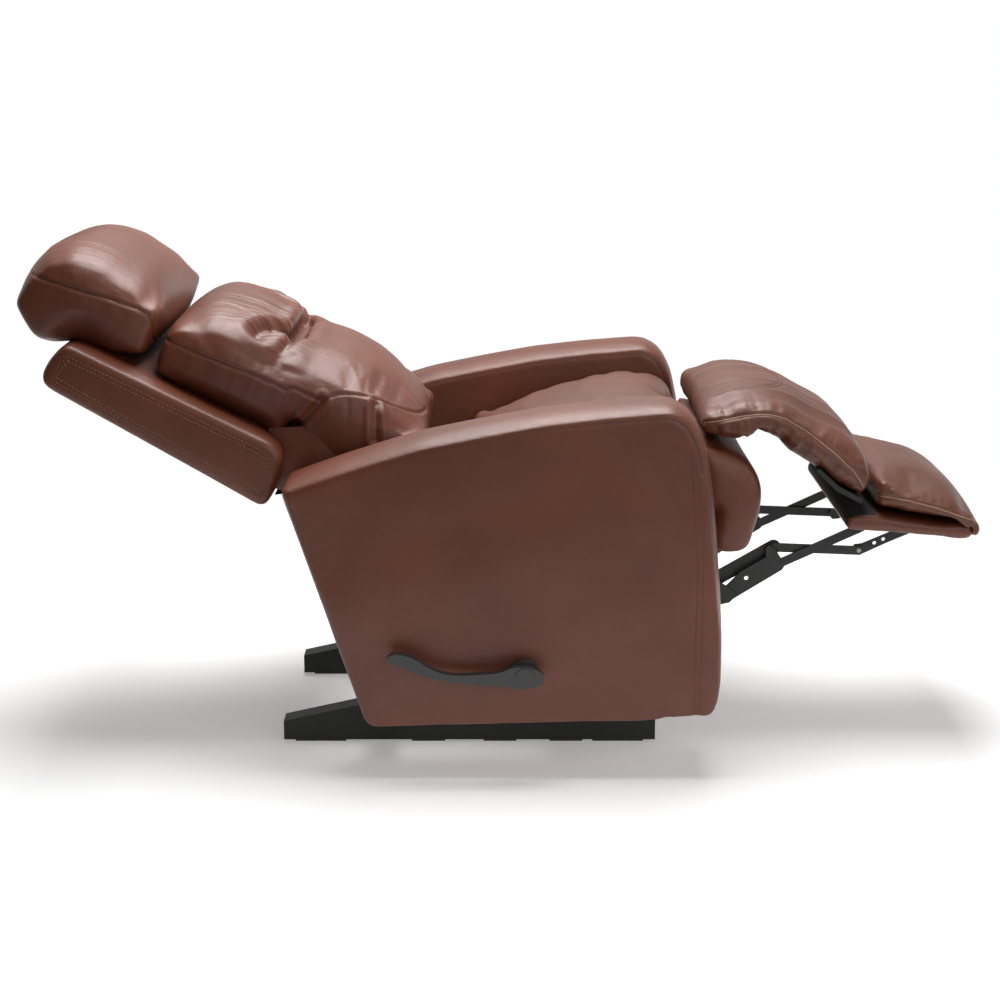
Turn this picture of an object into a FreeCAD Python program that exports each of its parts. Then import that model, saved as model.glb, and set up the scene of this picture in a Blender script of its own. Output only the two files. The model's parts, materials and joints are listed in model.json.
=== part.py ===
import FreeCAD, Part
import math
import os

# Rocker recliner armchair, reclined, with its legrest open.  Millimetres, +Z up.
# The origin is on the floor under the middle of the base, the chair faces -Y,
# and the sitter's right side, where the lever is, is -X.
# Profiles are drawn as (forward, height) points, where forward is -Y.

# ---- driving dimensions -------------------------------------------------
ARM_OUTER = 445.0          # half of the overall width
ARM_WIDTH = 165.0
ARM_INNER = ARM_OUTER - ARM_WIDTH
SEAT_GAP = 10.0            # between the seat and each arm
SEAT_HALF = ARM_INNER - SEAT_GAP
BACK_HALF = ARM_INNER + 50.0     # the wide outer back stands over the arms
PILLOW_HALF = ARM_INNER + 5.0    # head pillow and upper back cushion
LUMBAR_HALF = ARM_INNER - 12.0
PAD_HALF = SEAT_HALF             # calf and foot pads
FOOTBOARD_HALF = PAD_HALF - 15.0

# ---- base ---------------------------------------------------------------
RUNNER_CENTRE = ARM_INNER - 72.5
RUNNER_THICK = 45.0
RUNNER_TOP = 75.0
RUNNER_REAR = -393.0
RUNNER_FRONT = 282.0
STRAP_THICK = 3.0
STRAP_WIDTH = 60.0
STRAP_CENTRES = {"rear_strap": -130.0, "centre_strap": 0.0, "front_strap": 120.0}
GLIDE_LENGTH = 92.0        # flat glides under both ends of each runner
GLIDE_CENTRES = (-326.0, 214.0)
TIE_SIZE = 28.0            # square wooden ties between the runners
ROCKER_RADIUS = 350.0
ROCKER_GAP = 2.0           # between rocker cam and runner, so that it can turn
ROCKER_REACH = 120.0       # half length of the rocker cam
ROCKER_THICK = 30.0
ROCKER_SPRING_RADIUS = 16.0
ROCKER_SPRING_WIRE = 4.0
ROCKER_SPRING_TURNS = 6
ROCKER_SPRING_X = 140.0
SPRING_SEAT_GAP = 0.3

# ---- chair body ---------------------------------------------------------
ARM_FRAME_THICK = 45.0
ARM_FRAME_WIDTH = 55.0     # width of the frame's members
ARM_CLEARANCE = 0.5        # between frame and upholstery
ARM_EDGE_ROUND = 14.0
RAIL_DEPTH = 36.0          # cross rails that join the two arm frames
RAIL_PLACES = (-180.0, 240.0)
RAIL_BOTTOM = 118.0
RAIL_HEIGHT = 32.0
RAIL_END_GAP = 0.5

# ---- back ---------------------------------------------------------------
BACK_PIVOT = (-275.0, 418.0)
HINGE_PIN_RADIUS = 6.0
RUNNING_CLEARANCE = 0.05
PLATE = 4.0                # thickness of the mechanism's steel plates
PLATE_GAP = 0.5            # side clearance between plates that turn past each other
BACK_BRACKET_X = ARM_INNER - 30.0    # inner face of the back's hinge bracket
BACK_POST_WIDTH = 24.0
BACK_PAD = 3.0             # spacer between each back post and its bracket
BACK_POST_X = BACK_BRACKET_X - BACK_PAD - BACK_POST_WIDTH / 2
BACK_POST_DEPTH = 36.0
BACK_LINE_TOP = (-742.0, 700.0)
BACK_LINE_BOTTOM = (-318.0, 452.0)
BACK_RAIL_LENGTH = 46.0    # length along the posts of each back cross rail
BACK_RAILS_AT = (0.05, 0.50, 0.93)
SPRING_WIRE = 3.2
SPRING_COUNT = 4

# ---- seat and mechanism -------------------------------------------------
SHAFT_AT = (42.0, 197.0)
SHAFT_RADIUS = 9.0
SHAFT_END = 178.0          # far end of the drive shaft
SEAT_RAIL = 34.0
SEAT_FRAME_REAR = -20.0
SEAT_FRAME_FRONT = 372.0
SEAT_FRAME_BOTTOM = 384.0
SEAT_FRAME_HEIGHT = 50.0
INNER_PLATE_X = 146.0
LAYER = PLATE + PLATE_GAP
UPPER_LINK_X = INNER_PLATE_X + LAYER
LONG_BAR_X = UPPER_LINK_X + LAYER
SHORT_BAR_X = LONG_BAR_X + LAYER
LOWER_LINK_X = SHORT_BAR_X + LAYER
OUTER_PLATE_X = LOWER_LINK_X + LAYER
FOOT_BRACKET_X = INNER_PLATE_X - LAYER - PLATE_GAP
PIVOT_RADIUS = 4.0
RIVET_HEAD = 7.5
RIVET_HEAD_THICK = 2.5
UPPER_LINK_HALF = 13.0
BAR_HALF = 8.0

# ---- legrest pivots, legrest open ---------------------------------------
UPPER_LINK_PIVOT = (386.6, 280.2)
UPPER_LINK_END = (498.0, 345.0)
LOWER_LINK_PIVOT = (417.9, 258.9)
LOWER_LINK_END = (509.7, 316.4)
LONG_BAR_END = (653.0, 339.0)
SHORT_BAR_END = (655.0, 383.5)

# ---- lever --------------------------------------------------------------
HUB_RADIUS = 17.0
HUB_THICK = 19.0
BOSS_RADIUS = 25.0
BOSS_THICK = 21.7
LEVER_THICK = 17.0
LEVER_LIFT = 22.0          # between the arm's side and the inside of the lever
SHAFT_HOLE_CLEARANCE = 3.0

os.makedirs("parts", exist_ok=True)


# ---- helpers ------------------------------------------------------------
def save(shape, node):
    shape.exportStep("parts/" + node + ".step")


def at(point, x):
    """A (forward, height) point at lateral place x."""
    return FreeCAD.Vector(x, -point[0], point[1])


def prism(points, x_low, x_high):
    """A profile of (forward, height) points, pushed from x_low to x_high."""
    corners = [at(point, x_low) for point in points]
    face = Part.Face(Part.makePolygon(corners + corners[:1]))
    return face.extrude(FreeCAD.Vector(x_high - x_low, 0, 0))


def box(x_low, x_high, rear, front, low, high):
    return prism([(rear, low), (front, low), (front, high), (rear, high)], x_low, x_high)


def rod(point, radius, x_low, x_high):
    return Part.makeCylinder(radius, x_high - x_low, at(point, x_low), FreeCAD.Vector(1, 0, 0))


def both_sides(inner, outer):
    """The two lateral spans of a piece, keyed by its side of the chair."""
    return {"left": (inner, outer), "right": (-outer, -inner)}


def on_layer(side, x_inner, thick=PLATE):
    return both_sides(x_inner, x_inner + thick)[side]


def between(start, end, share):
    return (start[0] + (end[0] - start[0]) * share, start[1] + (end[1] - start[1]) * share)


def strip(start, end, half, x_low, x_high):
    """A flat bar with round ends around two points."""
    run = math.hypot(end[0] - start[0], end[1] - start[1])
    side_f = -(end[1] - start[1]) / run * half
    side_z = (end[0] - start[0]) / run * half
    corners = [(start[0] + side_f, start[1] + side_z), (end[0] + side_f, end[1] + side_z),
               (end[0] - side_f, end[1] - side_z), (start[0] - side_f, start[1] - side_z)]
    body = prism(corners, x_low, x_high)
    for point in (start, end):
        body = body.fuse(rod(point, half, x_low, x_high))
    return body.removeSplitter()


def inset(points, distance):
    """The same convex-ish profile with every side moved inwards (points run clockwise)."""
    count = len(points)
    moved = []
    for i in range(count):
        a, b, c = points[i - 1], points[i], points[(i + 1) % count]
        n1 = unit_normal(a, b)
        n2 = unit_normal(b, c)
        share = 1.0 + n1[0] * n2[0] + n1[1] * n2[1]
        moved.append((b[0] + (n1[0] + n2[0]) * distance / share,
                      b[1] + (n1[1] + n2[1]) * distance / share))
    return moved


def unit_normal(a, b):
    run = math.hypot(b[0] - a[0], b[1] - a[1])
    return ((b[1] - a[1]) / run, -(b[0] - a[0]) / run)


def rounded(shape, radius):
    """Round the edges that outline the two flat sides of a soft piece."""
    edges = []
    for edge in shape.Edges:
        ends = [vertex.X for vertex in edge.Vertexes]
        if abs(ends[0] - ends[-1]) < 0.01:
            edges.append(edge)
    return shape.makeFillet(radius, edges)


def spring_wire(start, end, x_centre, amplitude, turns, wire_radius):
    """A zigzag (sinuous) spring of straight round wire runs, lying along a line."""
    pieces = []
    points = []
    for i in range(turns + 1):
        place = between(start, end, i / turns)
        points.append(at(place, x_centre + (amplitude if i % 2 else -amplitude)))
    for a, b in zip(points, points[1:]):
        pieces.append(Part.makeCylinder(wire_radius, (b - a).Length, a, b - a))
    pieces += [Part.makeSphere(wire_radius, point) for point in points]
    return pieces[0].multiFuse(pieces[1:])


# ---- base ---------------------------------------------------------------
RUNNER_PROFILE = [(RUNNER_REAR, STRAP_THICK), (RUNNER_REAR, 38.0), (-259.0, 68.0), (-200.0, RUNNER_TOP),
                  (200.0, RUNNER_TOP), (255.0, 66.0), (RUNNER_FRONT, 40.0), (RUNNER_FRONT, STRAP_THICK)]


def base():
    runner_in = RUNNER_CENTRE - RUNNER_THICK / 2
    runner_out = RUNNER_CENTRE + RUNNER_THICK / 2
    for side, (low, high) in both_sides(runner_in, runner_out).items():
        save(prism(RUNNER_PROFILE, low, high), side + "_runner")
    for node, centre in STRAP_CENTRES.items():
        half = STRAP_WIDTH / 2
        strap = box(-runner_out, runner_out, centre - half, centre + half, 0.0, STRAP_THICK)
        save(strap, node)
    glides = []
    for centre in GLIDE_CENTRES:
        for low, high in both_sides(runner_in, runner_out).values():
            glide = box(low, high, centre - GLIDE_LENGTH / 2, centre + GLIDE_LENGTH / 2, 0.0, STRAP_THICK)
            glides.append(glide)
    save(Part.makeCompound(glides), "floor_glides")
    ties = []
    for place in RAIL_PLACES:
        tie = box(-runner_in, runner_in, place - TIE_SIZE / 2, place + TIE_SIZE / 2,
                  STRAP_THICK, STRAP_THICK + TIE_SIZE)
        ties.append(tie)
    save(Part.makeCompound(ties), "base_ties")


def rocker_springs():
    """Coil springs that stand on the ties and carry the cross rails, one near each corner."""
    foot = STRAP_THICK + TIE_SIZE + ROCKER_SPRING_WIRE / 2 + SPRING_SEAT_GAP
    rise = RAIL_BOTTOM - ROCKER_SPRING_WIRE / 2 - SPRING_SEAT_GAP - foot
    helix = Part.makeHelix(rise / ROCKER_SPRING_TURNS, rise, ROCKER_SPRING_RADIUS)
    start = FreeCAD.Vector(ROCKER_SPRING_RADIUS, 0, 0)
    section = Part.Wire(Part.makeCircle(ROCKER_SPRING_WIRE / 2, start, FreeCAD.Vector(0, 1, 0)))
    coil = Part.Wire(helix).makePipeShell([section], True, True)
    springs = []
    for place in RAIL_PLACES:
        for x in (-ROCKER_SPRING_X, ROCKER_SPRING_X):
            spring = coil.copy()
            spring.translate(FreeCAD.Vector(x, -place, foot))
            springs.append(spring)
    save(Part.makeCompound(springs), "rocker_springs")


# ---- chair body ---------------------------------------------------------
ARM_PROFILE = [(-227.0, 96.0), (-369.0, 514.0), (-275.0, 547.0), (-206.0, 569.0), (-137.0, 590.0),
               (-34.0, 611.0), (69.0, 630.0), (172.0, 642.0), (288.0, 651.0), (322.0, 632.0),
               (341.0, 596.0), (354.0, 530.0), (370.0, 341.0), (377.0, 253.0), (376.0, 164.0),
               (365.0, 118.0), (240.0, 107.0)]
ARM_FRAME_PROFILE = [(-215.0, 108.0), (-345.0, 500.0), (-137.0, 560.0), (172.0, 612.0),
                     (290.0, 615.0), (325.0, 530.0), (345.0, 253.0), (340.0, 125.0)]


def arms():
    frame_in = ARM_INNER + (ARM_WIDTH - ARM_FRAME_THICK) / 2
    hole = inset(ARM_FRAME_PROFILE, ARM_FRAME_WIDTH)
    cavity_profile = inset(ARM_FRAME_PROFILE, -ARM_CLEARANCE)
    cavity_hole = inset(ARM_FRAME_PROFILE, ARM_FRAME_WIDTH + ARM_CLEARANCE)
    for side, (low, high) in both_sides(ARM_INNER, ARM_OUTER).items():
        f_low, f_high = both_sides(frame_in, frame_in + ARM_FRAME_THICK)[side]
        frame = prism(ARM_FRAME_PROFILE, f_low, f_high).cut(prism(hole, f_low, f_high))
        cavity = prism(cavity_profile, f_low - ARM_CLEARANCE, f_high + ARM_CLEARANCE)
        cavity = cavity.cut(prism(cavity_hole, f_low - ARM_CLEARANCE, f_high + ARM_CLEARANCE))
        cover = rounded(prism(ARM_PROFILE, low, high), ARM_EDGE_ROUND).cut(cavity)
        if side == "right":
            shaft_hole = rod(SHAFT_AT, SHAFT_RADIUS + SHAFT_HOLE_CLEARANCE, low, high)
            frame = frame.cut(shaft_hole)
            cover = cover.cut(shaft_hole)
        save(frame, side + "_arm_frame")
        save(cover, side + "_arm_cover")


def cross_rails():
    inner = ARM_INNER - RAIL_END_GAP
    for name, place in zip(("rear_cross_rail", "front_cross_rail"), RAIL_PLACES):
        rail = box(-inner, inner, place - RAIL_DEPTH / 2, place + RAIL_DEPTH / 2,
                   RAIL_BOTTOM, RAIL_BOTTOM + RAIL_HEIGHT)
        save(rail, name)


def rocker_cams():
    """A curved rocker under each side, hung from the two cross rails by a straight beam."""
    bottom = RUNNER_TOP + ROCKER_GAP
    centre = (0.0, bottom + ROCKER_RADIUS)
    low = RUNNER_CENTRE - ROCKER_THICK / 2
    high = RUNNER_CENTRE + ROCKER_THICK / 2
    for side, (x_low, x_high) in both_sides(low, high).items():
        disc = rod(centre, ROCKER_RADIUS, x_low, x_high)
        cap = box(x_low, x_high, -ROCKER_REACH, ROCKER_REACH, bottom - 1.0, RAIL_BOTTOM)
        beam = box(x_low, x_high, RAIL_PLACES[0] - RAIL_DEPTH / 2, RAIL_PLACES[1] + RAIL_DEPTH / 2,
                   RAIL_BOTTOM - 14.0, RAIL_BOTTOM)
        save(disc.common(cap).fuse(beam).removeSplitter(), side + "_rocker_cam")


def back_hinges():
    """Plates on the arms carry the pins that the back turns on."""
    plate_in = BACK_BRACKET_X + LAYER
    pins = []
    for side in ("left", "right"):
        low, high = on_layer(side, plate_in)
        plate = prism([(-330.0, 385.0), (-330.0, 440.0), (-295.0, 455.0), (-245.0, 445.0),
                       (-150.0, 330.0), (-150.0, 250.0), (-200.0, 250.0)], low, high)
        foot_low, foot_high = both_sides(plate_in, ARM_INNER)[side]
        foot = box(foot_low, foot_high, -200.0, -150.0, 250.0, 290.0)
        pin_low, pin_high = both_sides(BACK_BRACKET_X - RIVET_HEAD_THICK, plate_in)[side]
        save(plate.fuse(foot).removeSplitter(), side + "_hinge_plate")
        pin = rod(BACK_PIVOT, HINGE_PIN_RADIUS, pin_low, pin_high)
        head_low, head_high = both_sides(BACK_BRACKET_X - RIVET_HEAD_THICK - PLATE_GAP,
                                         BACK_BRACKET_X - PLATE_GAP)[side]
        pins.append(pin.fuse(rod(BACK_PIVOT, HINGE_PIN_RADIUS * 1.6, head_low, head_high)))
    save(Part.makeCompound(pins), "back_hinge_pins")


# ---- back ---------------------------------------------------------------
SLAB_PROFILE = [(-741.0, 741.0), (-394.0, 567.0), (-377.0, 543.0), (-397.0, 479.0), (-410.0, 457.0),
                (-776.0, 668.0), (-786.0, 682.0), (-768.0, 713.0)]
HEAD_PROFILE = [(-832.0, 806.0), (-820.0, 852.0), (-785.0, 893.0), (-735.0, 912.0), (-672.0, 900.0),
                (-612.0, 855.0), (-577.0, 795.0), (-600.0, 740.0), (-614.0, 706.0), (-672.0, 713.0),
                (-743.0, 746.0), (-799.0, 752.0)]
MID_PROFILE = [(-596.0, 722.0), (-572.0, 780.0), (-534.0, 806.0), (-490.0, 814.0), (-424.0, 797.0),
               (-372.0, 762.0), (-361.0, 720.0), (-363.0, 640.0), (-378.0, 563.0), (-468.0, 608.0),
               (-536.0, 642.0), (-610.0, 680.0)]
LUMBAR_PROFILE = [(-358.0, 742.0), (-314.0, 732.0), (-268.0, 720.0), (-222.0, 698.0), (-185.0, 668.0),
                  (-148.0, 628.0), (-122.0, 585.0), (-118.0, 560.0), (-150.0, 500.0), (-200.0, 470.0),
                  (-262.0, 475.0), (-366.0, 534.0), (-361.0, 640.0)]


def back_members():
    """The back's wooden ladder: two posts and three rails along one sloping line."""
    run = math.hypot(BACK_LINE_TOP[0] - BACK_LINE_BOTTOM[0], BACK_LINE_TOP[1] - BACK_LINE_BOTTOM[1])
    side_f = -(BACK_LINE_TOP[1] - BACK_LINE_BOTTOM[1]) / run
    side_z = (BACK_LINE_TOP[0] - BACK_LINE_BOTTOM[0]) / run

    def member(start, end, half, x_low, x_high):
        return prism([(start[0] + side_f * half, start[1] + side_z * half),
                      (end[0] + side_f * half, end[1] + side_z * half),
                      (end[0] - side_f * half, end[1] - side_z * half),
                      (start[0] - side_f * half, start[1] - side_z * half)], x_low, x_high)
    return run, member


def back_ladder(grow):
    run, member = back_members()
    half = BACK_POST_DEPTH / 2 + grow
    pieces = []
    x_in = BACK_POST_X - BACK_POST_WIDTH / 2
    x_out = BACK_POST_X + BACK_POST_WIDTH / 2
    over = grow / run
    for low, high in both_sides(x_in - grow, x_out + grow).values():
        pieces.append(member(between(BACK_LINE_BOTTOM, BACK_LINE_TOP, -over),
                             between(BACK_LINE_BOTTOM, BACK_LINE_TOP, 1 + over), half, low, high))
    for share in BACK_RAILS_AT:
        reach = (BACK_RAIL_LENGTH / 2 + grow) / run
        start = between(BACK_LINE_BOTTOM, BACK_LINE_TOP, share - reach)
        end = between(BACK_LINE_BOTTOM, BACK_LINE_TOP, share + reach)
        pieces.append(member(start, end, half, -x_in, x_in))
    return pieces[0].multiFuse(pieces[1:]).removeSplitter()


def back():
    save(back_ladder(0.0), "back_frame")
    slab = rounded(prism(SLAB_PROFILE, -BACK_HALF, BACK_HALF), 12.0).cut(back_ladder(ARM_CLEARANCE))
    save(rounded(prism(HEAD_PROFILE, -PILLOW_HALF, PILLOW_HALF), 20.0), "head_pillow")
    save(rounded(prism(MID_PROFILE, -PILLOW_HALF, PILLOW_HALF), 16.0), "upper_back_cushion")
    save(rounded(prism(LUMBAR_PROFILE, -LUMBAR_HALF, LUMBAR_HALF), 16.0), "lumbar_cushion")
    for side in ("left", "right"):
        low, high = on_layer(side, BACK_BRACKET_X)
        start = between(BACK_LINE_BOTTOM, BACK_LINE_TOP, 0.16)
        bracket = strip(BACK_PIVOT, start, 17.0, low, high)
        post_out = BACK_POST_X + BACK_POST_WIDTH / 2
        pad_low, pad_high = both_sides(post_out, BACK_BRACKET_X)[side]
        pad = strip(between(BACK_LINE_BOTTOM, BACK_LINE_TOP, 0.08), start, 12.0, pad_low, pad_high)
        bracket = bracket.fuse(pad).removeSplitter()
        bracket = bracket.cut(rod(BACK_PIVOT, HINGE_PIN_RADIUS + RUNNING_CLEARANCE, low, high))
        slab = slab.cut(bracket)
        save(bracket, side + "_back_bracket")
    save(slab, "outer_back")


# ---- seat ---------------------------------------------------------------
SEAT_REAR = -56.0          # stands clear of the lumbar cushion when the back is upright
SEAT_PROFILE = [(SEAT_REAR, 440.0), (SEAT_REAR, 542.0), (-20.0, 563.0), (38.0, 590.0),
                (112.0, 616.0), (187.0, 633.0), (261.0, 641.0), (300.0, 636.0), (326.0, 620.0),
                (337.0, 585.0), (337.0, 440.0)]
APRON_PROFILE = [(345.0, 440.0), (345.0, 562.0), (411.0, 545.0), (441.0, 527.0), (461.0, 493.0),
                 (465.0, 470.0), (461.0, 431.0), (448.0, 396.0), (437.0, 365.0), (389.0, 366.0),
                 (378.0, 376.0), (378.0, 440.0)]
ROLL_PROFILE = [(345.0, 572.0), (344.0, 622.0), (352.0, 645.0), (380.0, 656.0), (409.0, 659.0),
                (429.0, 659.0), (429.0, 560.0), (420.0, 556.0), (358.0, 568.0)]


def seat():
    outer = box(-SEAT_HALF, SEAT_HALF, SEAT_FRAME_REAR, SEAT_FRAME_FRONT,
                SEAT_FRAME_BOTTOM, SEAT_FRAME_BOTTOM + SEAT_FRAME_HEIGHT)
    hole = box(-SEAT_HALF + SEAT_RAIL, SEAT_HALF - SEAT_RAIL, SEAT_FRAME_REAR + SEAT_RAIL,
               SEAT_FRAME_FRONT - SEAT_RAIL, SEAT_FRAME_BOTTOM, SEAT_FRAME_BOTTOM + SEAT_FRAME_HEIGHT)
    save(outer.cut(hole), "seat_frame")
    save(rounded(prism(SEAT_PROFILE, -SEAT_HALF, SEAT_HALF), 16.0), "seat_cushion")
    save(prism(APRON_PROFILE, -SEAT_HALF, SEAT_HALF), "seat_apron")
    save(rounded(prism(ROLL_PROFILE, -PAD_HALF, PAD_HALF), 10.0), "seat_front_roll")


def spring_set(start, end, half_spread, turns):
    """Sinuous springs side by side, between two rails."""
    springs = []
    pitch = 2 * half_spread / (SPRING_COUNT - 1)
    for i in range(SPRING_COUNT):
        springs.append(spring_wire(start, end, -half_spread + i * pitch, 22.0, turns, SPRING_WIRE / 2))
    return Part.makeCompound(springs)


def springs():
    level = SEAT_FRAME_BOTTOM + SEAT_FRAME_HEIGHT / 2
    reach = SEAT_RAIL + SPRING_WIRE / 2 + 0.2
    save(spring_set((SEAT_FRAME_REAR + reach, level), (SEAT_FRAME_FRONT - reach, level), 150.0, 14),
         "seat_springs")


def mechanism():
    inner_plate = [(0.0, 178.0), (0.0, 250.0), (-16.0, 384.0), (360.0, 384.0), (360.0, 360.0), (352.0, 296.0),
                   (386.6, 294.2), (400.0, 280.2), (386.6, 266.2), (330.0, 240.0), (80.0, 178.0)]
    outer_plate = [(0.0, 178.0), (0.0, 250.0), (-16.0, 384.0), (360.0, 384.0), (372.0, 300.0), (417.9, 272.9),
                   (431.9, 258.9), (417.9, 244.9), (330.0, 225.0), (80.0, 178.0)]
    pins = []
    for side in ("left", "right"):
        low, high = on_layer(side, INNER_PLATE_X)
        shaft_bore = rod(SHAFT_AT, SHAFT_RADIUS + RUNNING_CLEARANCE, low - 40.0, high + 40.0)
        save(prism(inner_plate, low, high).cut(shaft_bore), side + "_inner_plate")
        low, high = on_layer(side, OUTER_PLATE_X)
        save(prism(outer_plate, low, high).cut(shaft_bore), side + "_outer_plate")
        pins.append(pin_with_head(UPPER_LINK_PIVOT, side, INNER_PLATE_X + PLATE, UPPER_LINK_X + PLATE, True))
        pins.append(pin_with_head(LOWER_LINK_PIVOT, side, LOWER_LINK_X, OUTER_PLATE_X, False))
    save(Part.makeCompound(pins), "link_pivot_pins")
    tubes = []
    for place in ((250.0, 350.0), (120.0, 340.0)):
        tubes.append(rod(place, 12.5, -INNER_PLATE_X, INNER_PLATE_X))
    save(Part.makeCompound(tubes), "mechanism_tubes")


def pin_with_head(point, side, x_in, x_out, head_outside):
    """A pivot pin that fills x_in to x_out, with a round head past its free end."""
    low, high = both_sides(x_in, x_out)[side]
    pin = rod(point, PIVOT_RADIUS, low, high)
    if head_outside:
        span = both_sides(x_out - PLATE - PLATE_GAP / 2, x_out - PLATE)[side]
    else:
        span = both_sides(x_in + PLATE, x_in + PLATE + PLATE_GAP / 2)[side]
    return pin.fuse(rod(point, RIVET_HEAD, span[0], span[1]))


# ---- legrest ------------------------------------------------------------
CALF_PAD_PROFILE = [(434.0, 592.0), (434.0, 659.0), (484.0, 653.0), (521.0, 640.0), (559.0, 611.0),
                    (597.0, 583.0), (636.0, 549.0), (653.0, 527.0), (651.0, 478.0), (642.0, 456.0),
                    (597.0, 480.0), (543.0, 531.0), (516.0, 556.0), (498.0, 572.0), (458.0, 577.0)]
CALF_BOARD_PROFILE = [(562.0, 512.0), (597.0, 479.5), (640.0, 456.6), (636.0, 449.0), (593.0, 471.0),
                      (556.0, 506.0)]
FOOT_PAD_PROFILE = [(657.0, 436.0), (657.0, 500.0), (671.0, 513.0), (712.0, 513.0), (750.0, 502.0),
                    (788.0, 486.0), (827.0, 463.0), (846.0, 438.0), (846.0, 416.0), (778.0, 415.0),
                    (725.0, 424.0)]
FOOTBOARD_PROFILE = [(610.0, 425.0), (655.0, 431.0), (725.0, 420.0), (778.0, 411.0), (834.0, 412.0),
                     (845.0, 400.0), (841.0, 383.0), (824.0, 379.0), (779.0, 385.0), (673.0, 394.0),
                     (612.0, 397.0)]
FOOT_BRACKET_PROFILE = [(642.0, 399.0), (644.0, 380.0), (652.0, 373.0), (663.0, 376.0), (669.0, 386.0),
                        (732.0, 380.0), (702.0, 367.0), (660.0, 349.0), (646.0, 347.0), (643.0, 337.0),
                        (650.0, 329.0), (662.0, 330.0), (704.0, 350.0), (748.0, 369.0), (778.0, 388.0)]
FOOT_BRACKET_HOLES = [(683.0, 350.0), (699.0, 357.0)]
FOOT_BRACKET_HOLE = 3.5
LOWER_LINK_SHAPE = [(-14.0, -7.0), (-6.0, -11.0), (105.0, -11.0), (113.0, -7.0), (115.0, 2.0), (114.0, 31.0),
                    (109.0, 41.0), (101.0, 40.0), (92.0, 25.0), (40.0, 26.0), (2.0, 17.0), (-12.0, 10.0)]
LOWER_LINK_HOLE = (42.0, 10.0)


def legrest():
    save(rounded(prism(CALF_PAD_PROFILE, -PAD_HALF, PAD_HALF), 10.0), "calf_pad")
    save(prism(CALF_BOARD_PROFILE, -PAD_HALF + 12.0, PAD_HALF - 12.0), "calf_board")
    save(rounded(prism(FOOT_PAD_PROFILE, -PAD_HALF, PAD_HALF), 10.0), "foot_pad")
    save(prism(FOOTBOARD_PROFILE, -FOOTBOARD_HALF, FOOTBOARD_HALF), "footboard")


def linkage():
    foot_pins = []
    board = prism(FOOTBOARD_PROFILE, -FOOTBOARD_HALF, FOOTBOARD_HALF)
    for side in ("left", "right"):
        upper = link(UPPER_LINK_PIVOT, UPPER_LINK_END, UPPER_LINK_HALF, side, UPPER_LINK_X)
        save(upper, side + "_upper_link")
        save(wide_link(side), side + "_lower_link")
        save(link(LONG_BAR_END, UPPER_LINK_END, BAR_HALF, side, LONG_BAR_X), side + "_long_bar")
        save(link(SHORT_BAR_END, LOWER_LINK_END, BAR_HALF, side, SHORT_BAR_X), side + "_short_bar")
        low, high = on_layer(side, FOOT_BRACKET_X)
        bracket = prism(FOOT_BRACKET_PROFILE, low, high).cut(board)
        for point in FOOT_BRACKET_HOLES:
            bracket = bracket.cut(rod(point, FOOT_BRACKET_HOLE, low, high))
        save(bracket, side + "_foot_bracket")
        for point, layer in ((LONG_BAR_END, LONG_BAR_X), (SHORT_BAR_END, SHORT_BAR_X)):
            low, high = both_sides(FOOT_BRACKET_X + PLATE, layer + PLATE)[side]
            foot_pins.append(rod(point, PIVOT_RADIUS, low, high))
    save(Part.makeCompound(foot_pins), "foot_bracket_pins")


def wide_link(side):
    """The wide lower link, drawn along and across the line from its pivot to its end."""
    low, high = on_layer(side, LOWER_LINK_X)
    run = math.hypot(LOWER_LINK_END[0] - LOWER_LINK_PIVOT[0], LOWER_LINK_END[1] - LOWER_LINK_PIVOT[1])
    ahead = ((LOWER_LINK_END[0] - LOWER_LINK_PIVOT[0]) / run, (LOWER_LINK_END[1] - LOWER_LINK_PIVOT[1]) / run)

    def placed(along, across):
        return (LOWER_LINK_PIVOT[0] + ahead[0] * along - ahead[1] * across,
                LOWER_LINK_PIVOT[1] + ahead[1] * along + ahead[0] * across)
    plate = prism([placed(*point) for point in LOWER_LINK_SHAPE], low, high)
    plate = plate.cut(rod(placed(*LOWER_LINK_HOLE), PIVOT_RADIUS, low, high))
    return plate.cut(rod(LOWER_LINK_PIVOT, PIVOT_RADIUS + RUNNING_CLEARANCE, low, high))


def link(pivot, end, half, side, layer):
    """A flat bar that turns on a pin at its pivot; its other end is the open pivot."""
    low, high = on_layer(side, layer)
    bore = rod(pivot, PIVOT_RADIUS + RUNNING_CLEARANCE, low, high)
    return strip(pivot, end, half, low, high).cut(bore)


# ---- lever --------------------------------------------------------------
LEVER_PROFILE = [(74.0, 192.0), (72.0, 203.0), (60.0, 212.0), (42.0, 216.0), (21.0, 215.0), (3.0, 208.0),
                 (-24.0, 204.0), (-58.0, 202.0), (-95.0, 205.0), (-127.0, 219.0), (-149.0, 233.0),
                 (-170.0, 238.0), (-186.0, 236.0), (-191.0, 229.0), (-186.0, 224.0), (-172.0, 219.0),
                 (-149.0, 208.0), (-122.0, 198.0), (-92.0, 192.0), (-58.0, 187.5), (-24.0, 184.5),
                 (10.0, 182.0), (42.0, 178.0), (65.0, 183.0)]


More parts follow.
